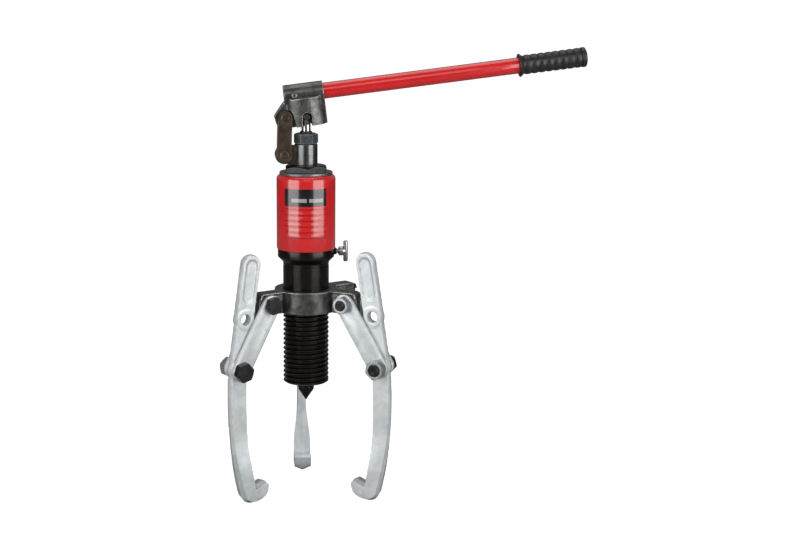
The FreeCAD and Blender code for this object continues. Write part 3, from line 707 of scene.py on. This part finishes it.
class PULLER_OT_barrel(Builder, bpy.types.Operator):
    """Barrel with its screw thread, collar and rod guide"""
    bl_idname = "puller.barrel"
    bl_label = "Threaded barrel"

    def build(self, sizes):
        low, high = box_mm("threaded_barrel")
        bottom, top, collar = low.z, high.z, high.x
        bore, wall, spigot = 17.0, 24.0, 28.5
        thread_low, thread_top = bottom + 1.4, 120.5
        neck, collar_low, collar_top = 150.0, 155.5, 164.0
        bm = bmesh.new()
        screw(bm, wall, sizes.thread_pitch, sizes.thread_depth, thread_low, thread_top, sizes.columns)
        lathe(bm, [(wall, thread_top), (wall, neck - 4.2), (wall - 0.8, neck - 3.8),
                   (wall - 0.8, neck - 2.6), (wall, neck - 2.2), (wall, neck, 0.8),
                   (collar, collar_low, 0.5), (collar, collar_top, 0.5), (spigot, collar_top),
                   (spigot, top), (bore, top), (bore, bottom + 0.8), (bore + 0.8, bottom, 0.3),
                   (wall - 2.0, bottom, 0.4), (wall, thread_low)], sizes.columns, closed=False)
        piece("barrel_with_thread", bm, "threaded_barrel", crease=28.0)
        low, high = box_mm("rod_guide")
        hole, face = 11.1, low.z + 0.2
        turned_piece("rod_guide_ring", [
            (hole, face + 0.4, 0.5), (hole + 1.3, face, 0.3), (16.4, face, 0.4),
            (high.x, face + 0.6, 0.2), (high.x, high.z, 0.3), (hole, high.z, 0.3)], "rod_guide")


class PULLER_OT_reservoir(Builder, bpy.types.Operator):
    """Red oil reservoir with its label, clamping washer and lock nut"""
    bl_idname = "puller.reservoir"
    bl_label = "Reservoir"

    def build(self, sizes):
        low, high = box_mm("reservoir_shell")
        radius, wall, neck, nut_across = high.x, 2.0, 13.1, 41.5
        turned_piece("reservoir_can", [
            (radius - wall, low.z, 0.3), (radius, low.z, 0.9), (radius, high.z, 4.5), (neck, high.z),
            (neck, high.z - wall), (radius - wall - 2.0, high.z - wall),
            (radius - wall, high.z - wall - 2.0)], "reservoir_shell", columns=160, crease=40.0)
        self.label(radius)
        low, high = box_mm("clamp_washer")
        turned_piece("clamping_washer", [
            (neck, low.z), (high.x, low.z, 0.5), (high.x, high.z, 0.7), (neck, high.z)],
            "clamp_washer", slot="cast_grey")
        low, high = box_mm("lock_nut")
        bm = bmesh.new()
        hexagon(bm, nut_across, low.z, high.z, neck, turn=30.0, both=False)
        piece("large_lock_nut", bm, "lock_nut", slot="black_bolt", crease=24.0)

    def label(self, radius):
        """Thin curved plate with rounded corners."""
        low, high = box_mm("label")
        inner, outer = radius + 0.02, radius + 0.28
        corner, across, up = 1.6, 56, 30
        bm = bmesh.new()
        rows = []
        for j in range(up + 1):
            z = low.z + 0.1 + (high.z - low.z - 0.2) * j / up
            edge = min(z - low.z, high.z - z, corner)
            cut = corner - math.sqrt(corner ** 2 - (corner - edge) ** 2)
            span = LABEL_REACH - cut / outer
            front, back = [], []
            for i in range(across + 1):
                a = -math.pi / 2.0 - LABEL_TURN - span + 2.0 * span * i / across
                lift = outer if 0 < i < across and 0 < j < up else outer - 0.08
                front.append(bm.verts.new(polar(lift, a, z)))
                back.append(bm.verts.new(polar(inner, a, z)))
            rows.append(front + back[::-1])
        join_rows(bm, rows)
        for row in (rows[0], rows[-1]):
            for i in range(across):
                bm.faces.new((row[i], row[i + 1], row[-2 - i], row[-1 - i]))
        piece("label_plate", bm, "label", crease=40.0)


class PULLER_OT_pump(Builder, bpy.types.Operator):
    """Pump cylinder with its ear, gland nut, wiper and plunger"""
    bl_idname = "puller.pump"
    bl_label = "Hand pump"

    def build(self, sizes):
        foot, radius, rod = 251.0, 12.0, 4.85
        top = foot + 22.0
        low, high = box_mm("pump_body")
        turned_piece("pump_cylinder", [
            (rod, low.z + 12.0), (rod, top - 6.0), (7.5, top - 6.0), (7.5, top - 0.4),
            (7.9, top), (radius, top, 0.7), (radius, foot + 0.6, 0.5), (radius - 0.6, foot, 0.2),
            (13.0, foot), (13.0, low.z), (2.6, low.z), (2.6, low.z + 12.0)], "pump_body")
        ear, half, rim = 9.5, 6.6, 1.1
        outline = arc(LINK_FOOT, ear, 78.0, 283.0, 24)
        outline += [Vector(point) for point in ((-11.0, foot + 0.05), (-7.0, foot + 0.05),
                                                (-7.0, top - 1.6), (-13.4, top - 1.6))]
        bm = bmesh.new()
        plate(bm, outline, [circle(LINK_FOOT, LINK_HOLE)], -half, half, rim)
        piece("pump_ear", bm, "pump_body", ALONG_Y, slot="brown_steel", stands=False)
        low, high = box_mm("gland_nut")
        across, spigot = 22.0, 7.35
        bm = bmesh.new()
        hexagon(bm, across, top, high.z, rod)
        lathe(bm, [(rod, low.z + 0.05), (spigot, low.z + 0.05), (spigot, top + 0.2), (rod, top + 0.2)],
              72)
        piece("gland_hexagon", bm, "gland_nut", slot="dark_steel", crease=24.0)
        low, high = box_mm("wiper_seal")
        turned_piece("wiper_lip", [
            (rod - 0.02, low.z), (high.x, low.z, 0.3), (high.x - 0.2, low.z + 1.3, 0.4),
            (rod + 0.9, high.z, 0.4), (rod, high.z - 0.3)], "wiper_seal", columns=56)
        low, high = box_mm("plunger_rod")
        r = high.x
        turned_piece("plunger_shaft", [(0.0, low.z), (r, low.z, 0.6), (r, high.z, 1.0), (0.0, high.z)],
                     "plunger_rod", columns=56)
        low, high = box_mm("plunger_pin")
        r, end = (high.x - low.x) / 2.0, (high.y - low.y) / 2.0
        place = Matrix.Translation((high + low) / 2.0) @ ALONG_Y
        turned_piece("plunger_cross_pin", [
            (0.0, -end + 0.5), (r * 0.45, -end, 0.4), (r, -end, 0.9),
            (r, end, 0.9), (r * 0.45, end, 0.4), (0.0, end - 0.5)],
            "plunger_pin", place, columns=SMALL)


class PULLER_OT_ram(Builder, bpy.types.Operator):
    """Ram rod, its hardened centre point and its return spring"""
    bl_idname = "puller.ram"
    bl_label = "Ram"

    def build(self, sizes):
        low, high = box_mm("ram_rod")
        hole = 4.95
        turned_piece("ram_bar", [
            (hole, low.z + 0.5), (hole + 0.55, low.z, 0.2), (high.x, low.z, 0.9),
            (high.x, high.z, 0.5), (hole, high.z)], "ram_rod")
        low, high = box_mm("centre_point")
        radius, shank, cone, groove, shoulder = high.x, 4.9, 12.0, 15.2, 20.5
        turned_piece("hardened_point", [
            (0.0, 0.0), (0.5, 0.1, 0.3), (radius, cone, 0.6), (radius, groove, 0.3),
            (radius - 1.0, groove + 0.4, 0.2), (radius - 1.0, groove + 1.6, 0.2),
            (radius, groove + 2.0, 0.3), (radius, shoulder - 0.05, 0.4), (shank, shoulder),
            (shank, high.z, 0.6), (0.0, high.z)], "centre_point", columns=64)
        self.spring()

    def spring(self):
        """A coil between the rod guide and the piston, wound at one length; the real spring shortens as the ram
        goes out.
        """
        low, high = box_mm("return_spring")
        mean, wire, pitch = 14.0, 1.1, 9.2
        bm = bmesh.new()
        coil(bm, mean, wire, pitch, low.z + wire, high.z - wire)
        spring = piece("coil_return_spring", bm, "return_spring", crease=0.0)
        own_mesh(spring)


class PULLER_OT_release_valve(Builder, bpy.types.Operator):
    """Release valve with its T-bar"""
    bl_idname = "puller.release_valve"
    bl_label = "Release valve"

    def build(self, sizes):
        low, high = box_mm("release_spindle")
        level, r, head, tip, thread_end, head_end = 160.2, 2.6, 4.8, low.x + 3.0, 33.4, 38.2
        place = Matrix.Translation((0.0, 0.0, level)) @ ALONG_X
        bm = bmesh.new()
        pitch, depth = 1.5, 0.55
        screw(bm, r, pitch, depth, tip, thread_end, SMALL, rows=8)
        lathe(bm, [(r, thread_end), (r, thread_end + 0.4), (r + 1.0, thread_end + 0.5, 0.2),
                   (head, thread_end + 1.2, 0.5), (head, head_end, 0.5),
                   (3.2, high.x, 0.5), (0.0, high.x)], SMALL, closed=False)
        lathe(bm, [(0.0, low.x), (0.5, low.x + 0.2), (r - 0.2, tip - 0.6), (r, tip)], SMALL,
              closed=False)
        piece("valve_spindle", bm, "release_spindle", place, axis=(1.0, 0.0, 0.0))
        low, high = box_mm("release_tbar")
        radius, middle = (high.x - low.x) / 2.0, (high + low) / 2.0
        place = Matrix.Translation((middle.x, middle.y, 0.0))
        turned_piece("valve_tbar", [(0.0, low.z), (radius, low.z, 1.1), (radius, high.z, 1.1),
                                    (0.0, high.z)], "release_tbar", place, columns=SMALL)


class PULLER_OT_linkage(Builder, bpy.types.Operator):
    """Link plates beside the pump's ear, with their riveted pins"""
    bl_idname = "puller.linkage"
    bl_label = "Pump linkage"

    def build(self, sizes):
        half, disc = 7.3, 8.6
        lean = math.atan2(LINK_HEAD[0] - LINK_FOOT[0], LINK_HEAD[1] - LINK_FOOT[1])
        waist = math.degrees(math.acos(half / disc))
        local = arc((0.0, 0.0), disc, 180.0 - waist, 360.0 + waist, 34)
        local += arc((0.0, math.dist(LINK_FOOT, LINK_HEAD)), half, 0.0, 180.0, 20)
        turn = Matrix.Rotation(-lean, 2)
        outline = [turn @ p + Vector(LINK_FOOT) for p in local]
        holes = [circle(LINK_FOOT, LINK_HOLE), circle(LINK_HEAD, LINK_HOLE)]
        for node, name in (("link_front", "front_link"), ("link_rear", "rear_link")):
            low, high = box_mm(node)
            bm = bmesh.new()
            plate(bm, outline, holes, -high.y, -low.y, sizes.plate_round)
            piece(name, bm, node, ALONG_Y)
        for node in ("link_lower_pin", "link_upper_pin"):
            low, high = box_mm(node)
            end, r, head, face, under = (high.y - low.y) / 2.0, 3.2, 4.6, 10.93, 10.91
            place = Matrix.Translation((low + high) / 2.0) @ ALONG_Y
            turned_piece(node.replace("link_", "link_rivet_"), [
                (0.0, -end), (r * 0.9, -end, 0.8), (head, -face, 0.7), (head, -under), (r, -under),
                (r, under), (head, under), (head, face, 0.7), (r * 0.9, end, 0.8), (0.0, end)],
                node, place, columns=SMALL)


class PULLER_OT_lever(Builder, bpy.types.Operator):
    """Cast lever socket, red handle tube and ribbed grip"""
    bl_idname = "puller.lever"
    bl_label = "Lever and handle"

    def build(self, sizes):
        mesh = skin_of("lever_socket", 0.55, 3)
        start, end, radius, wall = -17.9, 285.5, 8.3, 2.0
        along = HANDLE.to_3x3() @ Vector(UP)
        keep_clear(mesh, (0.0, 0.0, HANDLE_Z * MM), along, (radius + 0.02) * MM)
        dress("cast_socket", mesh, "lever_socket", crease=0.0)
        turned_piece("handle_red_tube", [
            (radius - wall, start), (radius, start, 0.4), (radius, end, 0.4), (radius - wall, end)],
            "handle_tube", HANDLE, columns=72)
        self.grip(sizes)
        place = Matrix.Translation(HANDLE @ Vector((0.0, 0.0, -12.5))) @ ALONG_Y
        top, deep, length, bore, r = 10.75, 1.8, 9.0, 0.95, 1.95
        turned_piece("handle_roll_pin", [
            (0.0, top - deep), (bore, top - deep), (bore, top - 0.2), (bore + 0.15, top, 0.1),
            (r, top, 0.4), (r, top - length), (0.0, top - length)], "retaining_pin", place, columns=32)

    def grip(self, sizes):
        start, end, radius, flange, bore = 221.0, 291.5, 10.2, 12.2, 8.33
        profile = [(bore, start + 0.1), (radius - 0.6, start, 0.3), (flange - 0.6, start, 0.4),
                   (flange, start + 1.0, 0.5), (radius - 0.4, start + 3.6, 0.9),
                   (radius - 0.8, start + 4.6)]
        first, last = start + 5.0, end - 5.6
        pitch = (last - first) / (sizes.grip_rings - 1)
        for k in range(sizes.grip_rings - 1):
            swell = radius - 0.12 * (1.0 - k / sizes.grip_rings)
            for s in range(9):
                t = s / 9.0
                bulge = math.sin(math.pi * t) ** 0.55
                profile.append((swell - 1.0 + bulge, first + pitch * (k + t)))
        profile += [(radius - 1.0, last), (radius + 0.05, last + 0.7, 0.7),
                    (radius + 0.15, end - 1.2, 1.6), (radius - 2.6, end, 1.4), (0.0, end),
                    (0.0, end - 5.8), (bore, end - 5.8)]
        turned_piece("ribbed_grip", profile, "handle_grip", HANDLE, columns=72, crease=50.0)


class PULLER_OT_yoke(Builder, bpy.types.Operator):
    """Cast yoke with its four lugs"""
    bl_idname = "puller.yoke"
    bl_label = "Yoke"

    def build(self, sizes):
        bore, hole, out, reach = 24.12 * MM, 5.08 * MM, 48.0 * MM, 9.0 * MM
        mesh = skin_of("yoke", sizes.forged_grid * 0.9, 3)
        keep_clear(mesh, (0.0, 0.0, 0.0), UP, bore)
        height = JOINTS["strap_swing_rear"]["pos_m"][2]
        for turn in (30.0, 90.0, 210.0, 330.0):
            a = math.radians(turn)
            keep_clear(mesh, polar(out, a, height), (-math.sin(a), math.cos(a), 0.0), hole, reach)
        dress("cast_yoke", mesh, "yoke", crease=0.0)


# Bolts of a jaw: joint, radius, size across flats, height of the head, thread pitch.
BOLTS = {"upper": ("strap_swing_", 5.0, 16.5, 6.4, 1.5),
         "lower": ("jaw_swing_", 6.0, 18.5, 7.5, 1.75)}
STRAP_R = 10.2
STRAP_INNER, STRAP_OUTER = 5.3, 10.3

# Half thickness of the frame's jaws at distances down from the lower pivot.
ARM, FOOT = 4.5, 9.2
FLARE = ((-200.0, ARM), (76.0, ARM), (83.0, 5.3), (101.0, 8.3), (110.0, FOOT), (141.0, FOOT),
         (150.0, 7.2))


class PULLER_OT_jaws(Builder, bpy.types.Operator):
    """Forged jaws with their straps, bolts and nuts"""
    bl_idname = "puller.jaws"
    bl_label = "Jaws and straps"

    def build(self, sizes):
        for name in JAWS:
            self.jaw(name, sizes)
            self.straps(name, sizes)
            for which, row in BOLTS.items():
                self.bolt(name, which, *row)

    def jaw(self, name, sizes):
        """A forging: full size at its parting line, and falling back from it towards both faces."""
        sole_lift, hole, reach = 2.6 * MM, 6.08 * MM, 12.0 * MM
        node = "jaw_" + name
        mesh = skin_of(node, sizes.forged_grid, 4)
        plane = jaw_plane(name)
        out, side = plane.col[0].xyz, plane.col[2].xyz
        lower = pivot(name, "jaw_swing_")
        normals = [v.normal.copy() for v in mesh.vertices]
        for v, normal in zip(mesh.vertices, normals):
            off = v.co.dot(side)
            inward = normal - side * normal.dot(side)
            down = lower[1] - v.co.z / MM
            back = v.co.dot(out) / MM - lower[0]
            half, flowing = self.half_width(down, back)
            lower_arm = clamp((down - 30.0) / 40.0)
            share = min(abs(off) / (half * MM), 1.0) ** (1.5 - 0.5 * lower_arm)
            v.co -= inward * (sizes.forged_draft * (1.0 + 0.9 * lower_arm) * MM * share)
            moved = off * flowing / half
            flat = clamp((abs(normal.dot(side)) - 0.75) / 0.2)
            if down > 66.0 and abs(off) > 0.6 * half * MM:
                moved += flat * (math.copysign(flowing * MM, off) - moved)
            v.co += side * (moved - off)
            v.co.z += sole_lift * ease((down - 131.0) / 19.0) * share
        keep_clear(mesh, JOINTS["jaw_swing_" + name]["pos_m"], side, hole, reach)
        dress("forged_jaw_" + name, mesh, node, crease=0.0)

    def half_width(self, down, back):
        """Half thickness of a jaw at a point: as the frame has it, and as one flowing surface."""
        widened = FOOT
        for (d0, h0), (d1, h1) in zip(FLARE, FLARE[1:]):
            if d0 <= down < d1:
                widened = h0 + (h1 - h0) * (down - d0) / (d1 - d0)
        tapered = FOOT - 4.3 * (back + 8.0) / 22.0 if down > 78.0 else FOOT
        rise, fall = ease((down - 68.0) / 50.0), ease((back + 10.0) / 26.0)
        toe = clamp((down - 138.0) / 12.0)
        flowing = ARM + (FOOT - ARM) * rise * (1.0 - 0.8 * fall) - 1.6 * toe * toe
        return max(min(widened, tapered), ARM), flowing

    def straps(self, name, sizes):
        plane = jaw_plane(name)
        upper, lower = pivot(name, "strap_swing_"), pivot(name, "jaw_swing_")
        outline = stadium(upper, lower, STRAP_R)
        holes = [circle(upper, 5.1), circle(lower, 6.1)]
        for node, low, high in (("strap_head_side_", -STRAP_OUTER, -STRAP_INNER),
                                ("strap_nut_side_", STRAP_INNER, STRAP_OUTER)):
            bm = bmesh.new()
            plate(bm, outline, holes, low, high, sizes.plate_round)
            piece(node.replace("_side_", "_plate_") + name, bm, node + name, plane)

    def bolt(self, name, which, joint, radius, across, head, pitch):
        plane = jaw_plane(name)
        u, w = pivot(name, joint)
        place = plane @ Matrix.Translation((u, w, 0.0))
        face, nut = STRAP_OUTER, radius * 1.6
        start, tail, edge = face - 1.0, face + nut + 3.0, 0.9
        bm = bmesh.new()
        hexagon(bm, across, face, face + head, turn=12.0, both=False)
        bmesh.ops.transform(bm, matrix=Matrix.Rotation(math.pi, 4, "X"), verts=bm.verts)
        screw(bm, radius, pitch, pitch * 0.42, start, tail - edge, SMALL, rows=8)
        lathe(bm, [(0.0, -face), (radius, -face), (radius, start)], SMALL, closed=False)
        lathe(bm, [(radius, tail - edge), (radius - edge, tail, 0.2), (radius * 0.5, tail, 0.3),
                   (radius * 0.4, tail - 0.5, 0.3), (0.0, tail - 0.5)], SMALL, closed=False)
        piece(f"hex_bolt_{which}_{name}", bm, f"{which}_bolt_{name}", place, crease=24.0)
        bm = bmesh.new()
        hexagon(bm, across, face, face + nut, radius + 0.02, turn=20.0)
        piece(f"hex_nut_{which}_{name}", bm, f"{which}_nut_{name}", place, crease=24.0)


class PULLER_OT_inner_parts(Builder, bpy.types.Operator):
    """Finishes for the frame's own pieces that stay, most of them inside"""
    bl_idname = "puller.inner_parts"
    bl_label = "Inner parts"

    def build(self, sizes):
        for node, obj in NODES.items():
            obj.data.materials.clear()
            obj.data.materials.append(finish(SLOT_OF[node]))
            if obj.hide_render:
                continue
            modify(obj, "WELD", merge_threshold=WELD_GAP)
            if node not in ("check_springs", "check_balls"):
                modify(obj, "BEVEL", width=0.25 * MM, segments=2, limit_method="ANGLE",
                       angle_limit=math.radians(40.0))


# ---- stage

# Each softbox: name, degrees round from the camera, degrees up, distance, size and brightness.
SOFTBOXES = (
    ("softbox_left", -50.0, 8.0, 1.5, (1.2, 1.5), 3.1),
    ("softbox_right", 50.0, 8.0, 1.5, (1.2, 1.5), 3.1),
    ("softbox_front", 4.0, 34.0, 2.4, (1.1, 0.9), 1.1),
    ("softbox_top", 180.0, 76.0, 1.9, (1.6, 1.6), 1.2),
)
LIT_POINT = Vector((0.0, 0.0, 0.12))
CAMERA_PLACE = (-0.0943, -1.5416, 0.4382)
CAMERA_DOWN, CAMERA_TURN = 11.3, -3.5


class PULLER_OT_stage(Builder, bpy.types.Operator):
    """Pale floor, soft lights and the camera"""
    bl_idname = "puller.stage"
    bl_label = "Stage"

    def build(self, sizes):
        floor_z = CAD_BOX[0].z - 0.0002
        self.floor(floor_z)
        self.world()
        for box in SOFTBOXES:
            self.softbox(*box)
        self.camera()

    def floor(self, height):
        bm = bmesh.new()
        bmesh.ops.create_grid(bm, x_segments=8, y_segments=8, size=90.0)
        mesh = mesh_of("floor", bm)
        obj = show("floor", mesh)
        obj.location.z = height
        material, tree, shader = new_material("pale_floor")
        shader.inputs["Base Color"].default_value = (0.30, 0.30, 0.30, 1.0)
        shader.inputs["Roughness"].default_value = 0.9
        shader.inputs["Specular IOR Level"].default_value = 0.0
        shader.inputs["Emission Color"].default_value = (1.0, 1.0, 1.0, 1.0)
        seen = add(tree, "LightPath").outputs["Is Camera Ray"]
        tree.links.new(seen, shader.inputs["Emission Strength"])
        mesh.materials.append(material)

    def world(self):
        world = bpy.data.worlds.new("studio")
        bpy.context.scene.world = world
        world.use_nodes = True
        tree = world.node_tree
        back = tree.nodes["Background"]
        seen = add(tree, "LightPath").outputs["Is Camera Ray"]
        tree.links.new(ramp(tree, seen, 0.0, 1.0, 0.16, 1.0), back.inputs["Strength"])
        back.inputs["Color"].default_value = (1.0, 1.0, 1.0, 1.0)

    def softbox(self, name, azimuth, elevation, distance, size, radiance):
        """An area light, as bright over its face whatever its size."""
        data = bpy.data.lights.new(name, "AREA")
        data.shape = "RECTANGLE"
        data.size, data.size_y = size
        data.energy = radiance * math.pi * size[0] * size[1]
        a, e = math.radians(azimuth + CAMERA_TURN), math.radians(elevation)
        out = Vector((math.sin(a) * math.cos(e), -math.cos(a) * math.cos(e), math.sin(e)))
        obj = show(name, data)
        obj.location = LIT_POINT + out * distance
        obj.rotation_euler = (-out).to_track_quat("-Z", "Y").to_euler()

    def camera(self):
        data = bpy.data.cameras.new("camera")
        data.lens = 67.5
        data.sensor_width = 36.0
        data.shift_x = 0.1175
        data.clip_end = 500.0
        obj = show("camera", data)
        obj.location = CAMERA_PLACE
        obj.rotation_euler = (math.radians(90.0 - CAMERA_DOWN), 0.0, math.radians(CAMERA_TURN))
        scene = bpy.context.scene
        scene.camera = obj
        scene.view_settings.view_transform = "Standard"


# ---- add-on

OPERATORS = (
    PULLER_OT_barrel, PULLER_OT_reservoir, PULLER_OT_pump, PULLER_OT_ram,
    PULLER_OT_release_valve, PULLER_OT_linkage, PULLER_OT_lever, PULLER_OT_yoke, PULLER_OT_jaws,
    PULLER_OT_inner_parts, PULLER_OT_stage,
)


class PULLER_PT_panel(bpy.types.Panel):
    """Lists the pieces of the gear puller"""
    bl_idname = "PULLER_PT_panel"
    bl_label = "Gear puller"
    bl_space_type = "VIEW_3D"
    bl_region_type = "UI"
    bl_category = "Gear puller"

    def draw(self, context):
        layout = self.layout
        for operator in OPERATORS:
            layout.operator(operator.bl_idname)
        for group_name in ("puller_sizes", "puller_colours"):
            settings = getattr(context.scene, group_name)
            column = layout.column()
            for key in type(settings).__annotations__:
                column.prop(settings, key)


CLASSES = (GearPullerColours, GearPullerSizes) + OPERATORS + (PULLER_PT_panel,)


def register():
    for each in CLASSES:
        bpy.utils.register_class(each)
    bpy.types.Scene.puller_colours = PointerProperty(type=GearPullerColours)
    bpy.types.Scene.puller_sizes = PointerProperty(type=GearPullerSizes)


def unregister():
    del bpy.types.Scene.puller_sizes
    del bpy.types.Scene.puller_colours
    for each in reversed(CLASSES):
        bpy.utils.unregister_class(each)


def main():
    register()
    for operator in OPERATORS:
        group_name, name = operator.bl_idname.split(".")
        getattr(getattr(bpy.ops, group_name), name)()


if __name__ == "__main__":
    main()
